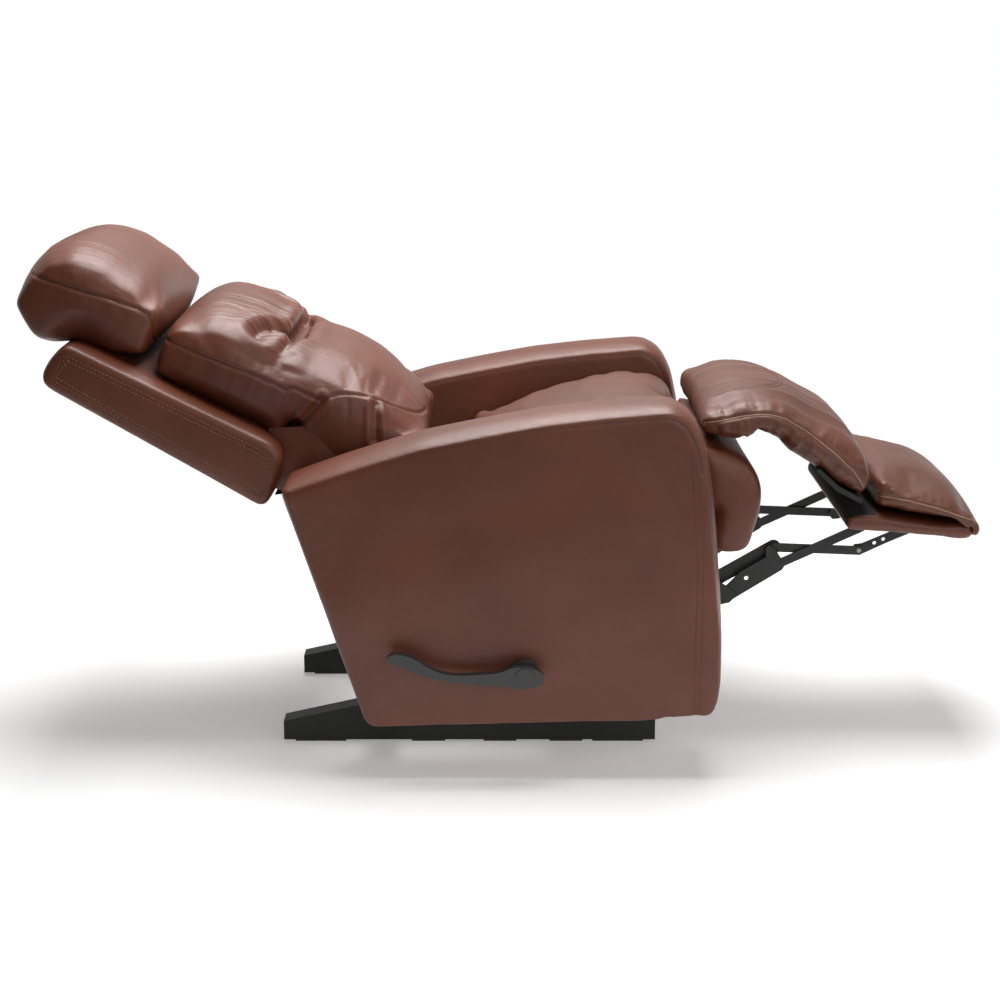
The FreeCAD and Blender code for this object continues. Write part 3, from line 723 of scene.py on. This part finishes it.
lid.inputs["To Min"].default_value = 1.0
lid.inputs["To Max"].default_value = HIGH_GREY
sky.links.new(direction.outputs["Z"], lid.inputs["Value"])
level = sky.nodes.new("ShaderNodeMath")
level.operation = "MULTIPLY"
sky.links.new(fade.outputs["Result"], level.inputs[0])
sky.links.new(lid.outputs["Result"], level.inputs[1])
sky.links.new(level.outputs["Value"], backdrop.inputs["Strength"])
backdrop.inputs["Color"].default_value = (1.0, 1.0, 1.0, 1.0)


def floor_paint():
    """White floor with a glow of its own, which fades into the surroundings away from the chair."""
    material, tree, bsdf = shader("pale_floor")
    bsdf.inputs["Base Color"].default_value = (0.90, 0.90, 0.90, 1.0)
    bsdf.inputs["Roughness"].default_value = 0.8
    bsdf.inputs["Emission Color"].default_value = (1.0, 1.0, 1.0, 1.0)
    bsdf.inputs["Emission Strength"].default_value = 0.26
    reach = tree.nodes.new("ShaderNodeVectorMath")
    reach.operation = "LENGTH"
    tree.links.new(tree.nodes.new("ShaderNodeTexCoord").outputs["Object"], reach.inputs[0])
    cover = tree.nodes.new("ShaderNodeMapRange")
    cover.interpolation_type = "SMOOTHSTEP"
    cover.inputs["From Min"].default_value = 1.1
    cover.inputs["From Max"].default_value = 2.2
    cover.inputs["To Min"].default_value = 1.0
    cover.inputs["To Max"].default_value = 0.0
    tree.links.new(reach.outputs["Value"], cover.inputs["Value"])
    tree.links.new(cover.outputs["Result"], bsdf.inputs["Alpha"])
    return material


FLOOR_HALF = 2.4
floor = new_object("floor", [(-FLOOR_HALF, -FLOOR_HALF, 0), (FLOOR_HALF, -FLOOR_HALF, 0),
                             (FLOOR_HALF, FLOOR_HALF, 0), (-FLOOR_HALF, FLOOR_HALF, 0)], [(0, 1, 2, 3)])
floor.data.materials.append(floor_paint())

# ---- back cushions ------------------------------------------------------
SEAM_DEPTH, SEAM_WIDTH = 0.0024, 0.0030
SIDE_CUT = 0.030           # how far inside its end a wide node is cut for its outline
NEVER_FREE = (2.0, 3.0)    # facing_range of a piece whose sides don't drop
HEAD_SEAM = [(0.10, 0.72), (0.35, 0.63), (0.62, 0.53), (0.84, 0.43), (0.915, 0.36), (0.90, 0.22),
             (0.87, 0.06)]
MID_SEAM = [(0.060, 0.60), (0.085, 0.70), (0.15, 0.71), (0.37, 0.62), (0.70, 0.49), (0.90, 0.40),
            (0.96, 0.355)]
LOW_SEAM = [(0.01, 0.70), (0.22, 0.60), (0.32, 0.64), (0.44, 0.64), (0.57, 0.61), (0.76, 0.52), (0.93, 0.42)]
LOW_TUCK = [(0.22, 0.60), (0.12, 0.50), (-0.02, 0.40)]
LOW_FOLD = [(0.60, 0.57), (0.60, 0.35)]
HEAD_NUDGES = [(0.0, 0.30, 0.075, 0.014), (0.16, 0.0, 0.070, 0.012), (0.12, 0.80, 0.060, 0.013),
               (0.70, 0.92, 0.070, -0.007)]


def back_cushions():
    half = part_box("head_pillow")[1].x
    outline = nudged(section("head_pillow"), moves_on("head_pillow", HEAD_NUDGES))
    piece, _ = soft_body("head_bolster", outline, half, drop=0.040, free=(-0.05, 1.0),
                         bulge=0.012, edge=0.012, hold=0.11)
    seams = both(piece, on_box("head_pillow", HEAD_SEAM))
    puff(piece, seams, 0.007)
    seams = both(piece, on_box("head_pillow", HEAD_SEAM))
    groove(piece, seams, SEAM_DEPTH, SEAM_WIDTH, 0.0005)
    for number, seam in enumerate(seams):
        gather(piece, seam, 0.0010, 0.022, 0.060, SEED + number)
    crease(piece, 0.0010, 0.060, "y", SEED + 2,
           lambda co: ease(co[:, 2], 0.80, 0.88) * ease(co[:, 1], 0.62, 0.75))
    finish_soft(piece, "back", ["head_pillow"])
    stitching("head_bolster_thread", piece, seams, "back", radius=0.0004)

    # The upper back and the lumbar roll share one cover, with a deep tuck between them that stops
    # short of the sides.
    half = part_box("upper_back_cushion")[1].x
    split = -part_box("lumbar_cushion")[1].y - 0.001
    outline = joined(section("upper_back_cushion"), section("lumbar_cushion"), split)
    piece, _ = soft_body("back_cushion", outline, half, drop=0.052, free=(0.30, 1.0),
                         facing_range=(0.0, 0.85), bulge=0.012, edge=0.012, hold=0.14, level_ends=0.8,
                         sink=0.007)
    co = get_co(piece)
    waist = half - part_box("lumbar_cushion")[1].x
    narrow = waist * ease(-co[:, 1], split - 0.10, split + 0.06)
    narrow = narrow * ease(np.abs(co[:, 0]), 0.1, half)
    under = 0.020 * np.exp(-((-co[:, 1] - split + 0.045) / 0.045) ** 2) * ease(0.60 - co[:, 2], 0.0, 0.05)
    co[:, 0] -= np.sign(co[:, 0]) * narrow
    co[:, 2] -= under + 0.009 * ease(-co[:, 1], split - 0.01, split + 0.04) * ease(co[:, 2], 0.58, 0.66)
    co[:, 2] -= 0.012 * np.exp(-((-co[:, 1] - split + 0.055) / 0.060) ** 2) * ease(co[:, 2], 0.64, 0.72)
    set_co(piece, co)
    sewn = on_box("upper_back_cushion", MID_SEAM) + on_box("lumbar_cushion", LOW_SEAM)
    seams = both(piece, sewn)
    puff(piece, seams, 0.008)
    tuck = tuck_line(tree_of(piece), split, half)
    groove(piece, [tuck], 0.012, 0.014, 0.004)
    groove(piece, [tuck], 0.009, 0.0050)
    fan(piece, split, half)
    seams = both(piece, sewn)
    for number, seam in enumerate(seams):
        gather(piece, seam, 0.0018, 0.026, 0.060, SEED + 5 + number)
    extra = both(piece, on_box("lumbar_cushion", LOW_TUCK)) + both(piece, on_box("lumbar_cushion", LOW_FOLD))
    groove(piece, seams, SEAM_DEPTH, SEAM_WIDTH, 0.0005)
    groove(piece, extra, 0.0040, 0.0060, 0.0020)
    tree = tree_of(piece)
    panel = [panel_seam(tree, half, split, side) for side in (-1, 1)]
    groove(piece, panel, 0.0022, 0.0030, 0.0006)
    shade_smooth(piece)
    dress(piece, LEATHER, "back")
    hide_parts("upper_back_cushion", "lumbar_cushion")
    stitching("back_cushion_thread", piece, seams + panel, "back", radius=0.0004)


def drop_on(tree, x, forward, height=1.2):
    """The highest place of a surface straight below a point."""
    spot, _, _, _ = tree.ray_cast(Vector((x, -forward, height)), Vector((0, 0, -1)))
    return None if spot is None else np.array(spot)


def tuck_line(tree, split, half):
    """The tuck runs across the cushion and bends rearwards near each side."""
    points = []
    for share in np.linspace(-0.78, 0.78, 60):
        forward = split + 0.004 - 0.060 * ease(abs(share), 0.35, 0.80)
        place = drop_on(tree, share * half, forward)
        if place is not None:
            points.append(place)
    return np.array(points)


def panel_seam(tree, half, split, side):
    """One side seam of the raised middle panel of the upper back, from its rear edge to the tuck."""
    rear = -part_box("upper_back_cushion")[1].y
    points = []
    for share in np.linspace(0.0, 1.0, 50):
        forward = rear + 0.030 + (split - 0.020 - rear - 0.030) * share
        place = drop_on(tree, side * half * (0.52 + 0.10 * share ** 2), forward)
        if place is not None:
            points.append(place)
    return np.array(points)


def fan(piece, split, half):
    """Fine pleats that fan rearwards from the tuck."""
    co, normal = get_co(piece), soft_normals(piece)
    forward = -co[:, 1]
    behind = split - forward
    spread = co[:, 0] / (1.0 + 1.6 * np.clip(behind, 0, 0.3))
    pleats = 0.6 * wave(spread, 0.034, SEED + 40) + 0.4 * wave(spread, 0.075, SEED + 41)
    share = ease(behind, 0.0, 0.020) * np.exp(-np.clip(behind, 0, 1) / 0.075) * ease(co[:, 2], 0.64, 0.70)
    share = share * ease(half - np.abs(co[:, 0]), 0.02, 0.09)
    front = ease(-behind, 0.0, 0.012) * np.exp(-np.clip(-behind, 0, 1) / 0.030) * 0.45
    share = share + front * ease(co[:, 2], 0.64, 0.70) * ease(half - np.abs(co[:, 0]), 0.04, 0.12)
    set_co(piece, co + normal * (0.0062 * pleats * share)[:, None])


def outer_back():
    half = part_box("outer_back")[1].x
    piece, seams = soft_body("outer_back_panel", section("outer_back", half - SIDE_CUT), half, bulge=0.003,
                             shrink=-0.003, edge=0.010, spacing=0.008, facing_range=NEVER_FREE,
                             round_over=0.012)
    puff(piece, seams, 0.003, pressure=1.0)
    finish_soft(piece, "back", ["outer_back"])
    rows = []
    for seam in seams:
        for gap in (0.009, 0.016):
            rows.append(shrunk(seam, gap))
    groove(piece, rows, 0.0008, 0.0016)
    stitching("outer_back_thread", piece, rows, "back", radius=0.0009, paint=PALE_THREAD)
    back_lining()
    back_flaps()


LINING_ROWS = 12
LINING_SAG = 0.010


def back_lining():
    """Black cloth stapled under the back, from the foot of the outer back to the lumbar roll."""
    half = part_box("back_frame")[1].x + 0.002
    rear = section("outer_back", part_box("outer_back")[1].x - SIDE_CUT)
    foot = rear[rear[:, 1].argmin()] + np.array([0.012, 0.006])
    nose = section("lumbar_cushion")
    chin = nose[nose[:, 1].argmin()] + np.array([0.0, 0.010])
    rows = []
    across = np.linspace(-half, half, LINING_ROWS)
    for share in np.linspace(0, 1, LINING_ROWS):
        sag = -LINING_SAG * math.sin(math.pi * share)
        forward, height = foot + (chin - foot) * share
        rows.append([(x, -forward, height + sag * (1 - (x / half) ** 2)) for x in across])
    vertices = [point for row in rows for point in row]
    starts = [j * LINING_ROWS + i for j in range(LINING_ROWS - 1) for i in range(LINING_ROWS - 1)]
    faces = [(k, k + 1, k + LINING_ROWS + 1, k + LINING_ROWS) for k in starts]
    sheet = new_object("back_lining", vertices, faces)
    shade_smooth(sheet)
    dress(sheet, LINING, "back")


FLAP = [(-0.405, 0.585), (-0.300, 0.590), (-0.250, 0.490), (-0.300, 0.462), (-0.372, 0.470), (-0.404, 0.480)]


def back_flaps():
    """Leather at each end of the back's foot, from the back cushion down to the outer back."""
    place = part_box("lumbar_cushion")[1].x - 0.006
    for side, out in SIDES.items():
        rim = resample(np.array(FLAP), 0.008)
        middle = rim.mean(0)
        rings = [middle + (rim - middle) * k for k in (1.0, 0.8, 0.6, 0.4, 0.2)]
        vertices = [(out * (place + 0.006 * (1 - k * k)), -f, z)
                    for k, ring in zip((1.0, 0.8, 0.6, 0.4, 0.2), rings) for f, z in ring]
        count = len(rim)
        faces = [(j * count + i, j * count + (i + 1) % count, (j + 1) * count + (i + 1) % count,
                  (j + 1) * count + i) for j in range(4) for i in range(count)]
        faces.append(tuple(range(4 * count, 5 * count)))
        flap = new_object(side + "_back_flap", vertices, faces)
        shade_smooth(flap)
        dress(flap, LEATHER, "back")


def shrunk(line, distance):
    """A closed outline in a plane across X, moved inwards."""
    flat = np.stack([-line[:-1, 1], line[:-1, 2]], axis=1)
    flat = flat - normals_2d(flat) * distance
    ring = np.stack([line[:-1, 0], -flat[:, 0], flat[:, 1]], axis=1)
    return np.vstack([ring, ring[:1]])


# ---- arms ---------------------------------------------------------------


def arm(side):
    node_name = side + "_arm_cover"
    low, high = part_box(node_name)
    centre = (low.x + high.x) / 2
    half = (high.x - low.x) / 2
    outline = section(node_name, high.x - 0.020)
    piece, seams = soft_body(side + "_arm", outline, half, drop=0.018, free=(0.25, 1.0),
                             facing_range=(0.0, 0.7), bulge=0.003, shrink=-0.003, edge=0.010, spacing=0.010,
                             round_over=0.016, hold=0.03)
    co = get_co(piece)
    co[:, 0] += centre
    set_co(piece, co)
    seams = [seam + np.array([centre, 0, 0]) for seam in seams]
    puff(piece, seams, 0.004, pressure=1.2)
    out = SIDES[side]
    top = [top_run(seam) for seam in seams]
    groove(piece, top, 0.0014, 0.0022, 0.0)
    rows = front_rows(out, low, high)
    groove(piece, rows, 0.0010, 0.0020)
    co, normal = get_co(piece), soft_normals(piece)
    swell = 0.0025 * wave(co[:, 2] + 0.3 * co[:, 1], 0.45, SEED + 50) * ease(np.abs(normal[:, 0]), 0.7, 0.95)
    folds = 0.0035 * wave(co[:, 1] * 1.1 - co[:, 2] * 0.5, 0.11, SEED + 51)
    folds = folds * np.exp(-((co[:, 2] - low.z) / 0.055) ** 2) * ease(-co[:, 1], 0.20, 0.36)
    set_co(piece, co + normal * (swell + folds)[:, None])
    finish_soft(piece, "chair_body", [node_name])
    stitching(side + "_arm_thread", piece, top + rows, "chair_body", radius=0.0005)


def top_run(rim):
    """The part of an arm's rim that runs along its top, where the top panel is sewn on."""
    keep = rim[:-1, 2] > np.interp(-rim[:-1, 1], [-0.36, -0.10, 0.33], [0.44, 0.52, 0.54])
    return cut_open(rim[:-1], keep)


def front_rows(out, low, high):
    """Two upright sewn rows on the arm's outer side, just behind its front edge."""
    outer_x = high.x if out > 0 else low.x
    rows = []
    for gap in (0.030, 0.040):
        points = []
        for share in np.linspace(0.04, 0.86, 40):
            z = low.z + (high.z - low.z) * share
            lean = 0.020 * ease(share, 0.45, 0.95) + 0.006 * (1 - share)
            points.append((outer_x, low.y + gap + lean, z))
        rows.append(np.array(points))
    return rows


# ---- seat and legrest ---------------------------------------------------


APRON_NUDGES = [(1.0, 0.42, 0.060, 0.003), (0.45, 0.0, 0.060, 0.014)]


def seat():
    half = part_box("seat_cushion")[1].x
    piece, seams = soft_body("seat_pad", section("seat_cushion"), half, drop=0.022, bulge=0.004, sink=0.020)
    puff(piece, seams, 0.010)
    crease(piece, 0.0016, 0.150, "y", SEED + 20, lambda co: ease(co[:, 2], 0.50, 0.58))
    crease(piece, 0.0014, 0.120, "x", SEED + 24, lambda co: ease(co[:, 2], 0.50, 0.58))
    groove(piece, seams, 0.003, 0.005)
    finish_soft(piece, "seat", ["seat_cushion"], material=PAD_LEATHER_PAINTED_SHEEN)

    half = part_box("seat_apron")[1].x
    outline = nudged(section("seat_apron"), moves_on("seat_apron", APRON_NUDGES))
    piece, seams = soft_body("front_apron", outline, half, bulge=0.008, facing_range=NEVER_FREE,
                             round_over=0.03)
    puff(piece, seams, 0.005, pressure=2.0)
    finish_soft(piece, "seat", ["seat_apron"])


def u_line(tree, half, rear, front, inset):
    """A U-shaped sewn line on top of a pad, open towards the rear."""
    points = []
    for turn in np.linspace(-1, 1, 90):
        if abs(turn) > 0.4:
            share = (abs(turn) - 0.4) / 0.6
            x = half - inset
            forward = front - 0.10 - share * (front - 0.10 - rear)
        else:
            angle = turn / 0.4 * math.pi / 2
            x = (half - inset) * abs(math.sin(angle))
            forward = front - 0.10 + 0.10 * math.cos(angle)
        place = drop_on(tree, math.copysign(x, turn), forward)
        if place is not None:
            points.append(place)
    return np.array(points)


# Seams are shares of a node's box, except the calf seam's rear end, which is (forward, height) in metres.
CALF_SEAM = [(0.00, 0.745), (0.16, 0.755), (0.28, 0.725), (0.48, 0.60), (0.72, 0.40), (0.87, 0.24),
             (0.97, 0.06)]
CALF_SEAM_REAR = (0.358, 0.592)
CALF_NUDGES = [(0.90, 0.52, 0.060, 0.018), (0.97, 0.12, 0.030, 0.005), (0.39, 0.49, 0.035, 0.014)]
ROLL_NUDGES = [(0.10, 0.98, 0.045, -0.018)]
FOOT_SEAM = [(0.03, 0.46), (0.15, 0.48), (0.36, 0.40), (0.62, 0.27), (0.86, 0.10), (0.96, 0.02)]
FOOT_NUDGES = [(0.84, 0.62, 0.045, 0.006), (0.30, 0.95, 0.070, -0.010)]
WRAP = [(0.012, 0.80), (0.014, 0.40), (0.007, 0.05), (-0.006, -0.03), (-0.019, 0.02), (-0.015, 0.35),
        (-0.016, 0.90)]


def wrapped(loop, board):
    """A pad's outline with its nose carried down and round the front edge of the board below it.
    WRAP gives each place as metres past the board's edge and a share of the board's thickness."""
    low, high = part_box(board)
    front, thick = -low.y, high.z - low.z
    keep = (loop[:, 0] < front - 0.018) | (loop[:, 1] > loop[:, 1].min() + 0.030)
    nose = np.array([(front + past, low.z + thick * share) for past, share in WRAP])
    return np.vstack([cut_open(loop, keep), nose])


def legrest():
    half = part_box("calf_pad")[1].x
    split = -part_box("calf_pad")[1].y - 0.0025
    outline = joined(section("seat_front_roll"), section("calf_pad"), split)
    moves = moves_on("calf_pad", CALF_NUDGES) + moves_on("seat_front_roll", ROLL_NUDGES)
    outline = nudged(outline, moves)
    piece, _ = soft_body("calf_cushion", outline, half, drop=0.032, free=(0.25, 1.0),
                             facing_range=(0.0, 0.80), bulge=0.014, edge=0.010, hold=0.11, sink=0.008)
    calf_seam = [CALF_SEAM_REAR] + on_box("calf_pad", CALF_SEAM)
    seams = both(piece, calf_seam)
    puff(piece, seams, 0.007)
    seams = both(piece, calf_seam)
    crease(piece, 0.0014, 0.110, "y", SEED + 26, lambda co: ease(co[:, 2], 0.50, 0.58))
    for number, seam in enumerate(seams):
        gather(piece, seam, 0.0030, 0.034, 0.052, SEED + 30 + number)
    groove(piece, seams, SEAM_DEPTH, SEAM_WIDTH, 0.0008)
    tree = tree_of(piece)
    rows = [u_line(tree, half, split - 0.05, split + 0.085 + gap, 0.105 - gap) for gap in (0.0, 0.008)]
    groove(piece, rows, 0.0016, 0.0024)
    shade_smooth(piece)
    dress(piece, PAD_LEATHER_PAINTED_SHEEN, None)
    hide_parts("calf_pad", "seat_front_roll")
    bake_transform(piece)
    welt = piping("calf_welt", piece, seams, None, radius=0.0016, lift=0.0, paint=TAN_WELT)
    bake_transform(welt)
    thread = stitching("calf_thread", piece, rows, None, radius=0.0006)
    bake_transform(thread)

    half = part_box("foot_pad")[1].x
    outline = nudged(wrapped(section("foot_pad"), "footboard"), moves_on("foot_pad", FOOT_NUDGES))
    piece, _ = soft_body("foot_cushion", outline, half, drop=0.032, free=(0.15, 1.0),
                             facing_range=(0.0, 0.80), bulge=0.012, edge=0.008, hold=0.11, sink=0.008,
                             spacing=0.006)
    seams = both(piece, on_box("foot_pad", FOOT_SEAM))
    puff(piece, seams, 0.007)
    seams = both(piece, on_box("foot_pad", FOOT_SEAM))
    for number, seam in enumerate(seams):
        gather(piece, seam, 0.0026, 0.028, 0.060, SEED + 34 + number)
    groove(piece, seams, SEAM_DEPTH, SEAM_WIDTH, 0.0008)
    finish_soft(piece, "footrest", ["foot_pad"], material=PAD_LEATHER_PAINTED_SHEEN)
    piping("foot_welt", piece, seams, "footrest", radius=0.0016, lift=0.0, paint=TAN_WELT)

    low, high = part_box("footboard")
    piece, seams = soft_body("footboard_cover", section("footboard"), high.x, bulge=0.003, shrink=0.001,
                             edge=0.006, spacing=0.008, facing_range=NEVER_FREE, round_over=0.010)
    puff(piece, seams, 0.005, pressure=0.8)
    finish_soft(piece, "footrest", ["footboard"])
    piece.data.materials.append(LINING)
    hidden = -low.y - 0.180
    for face in piece.data.polygons:
        if -face.center.y < hidden and face.normal.z > -0.2 and abs(face.normal.x) < 0.6:
            face.material_index = 1


# ---- edges of the hard parts --------------------------------------------
EDGE_BY_SLOT = {"steel": 0.0005, "bright_steel": 0.0004, "wood": 0.0015, "black_wood": 0.0035,
                "lever_plastic": 0.0045}
SOFT_NODES = {"rocker_springs", "seat_springs"}


def break_edges():
    for sub in frame["record"]["subparts"]:
        width = EDGE_BY_SLOT.get(sub["material_slot"])
        if width and sub["node"] not in SOFT_NODES:
            modifier = frame["nodes"][sub["node"]].modifiers.new("edge", "BEVEL")
            modifier.width = width
            modifier.segments = 3
            modifier.limit_method = "ANGLE"
            modifier.angle_limit = math.radians(35)


break_edges()
back_cushions()
outer_back()
for side in SIDES:
    arm(side)
seat()
legrest()
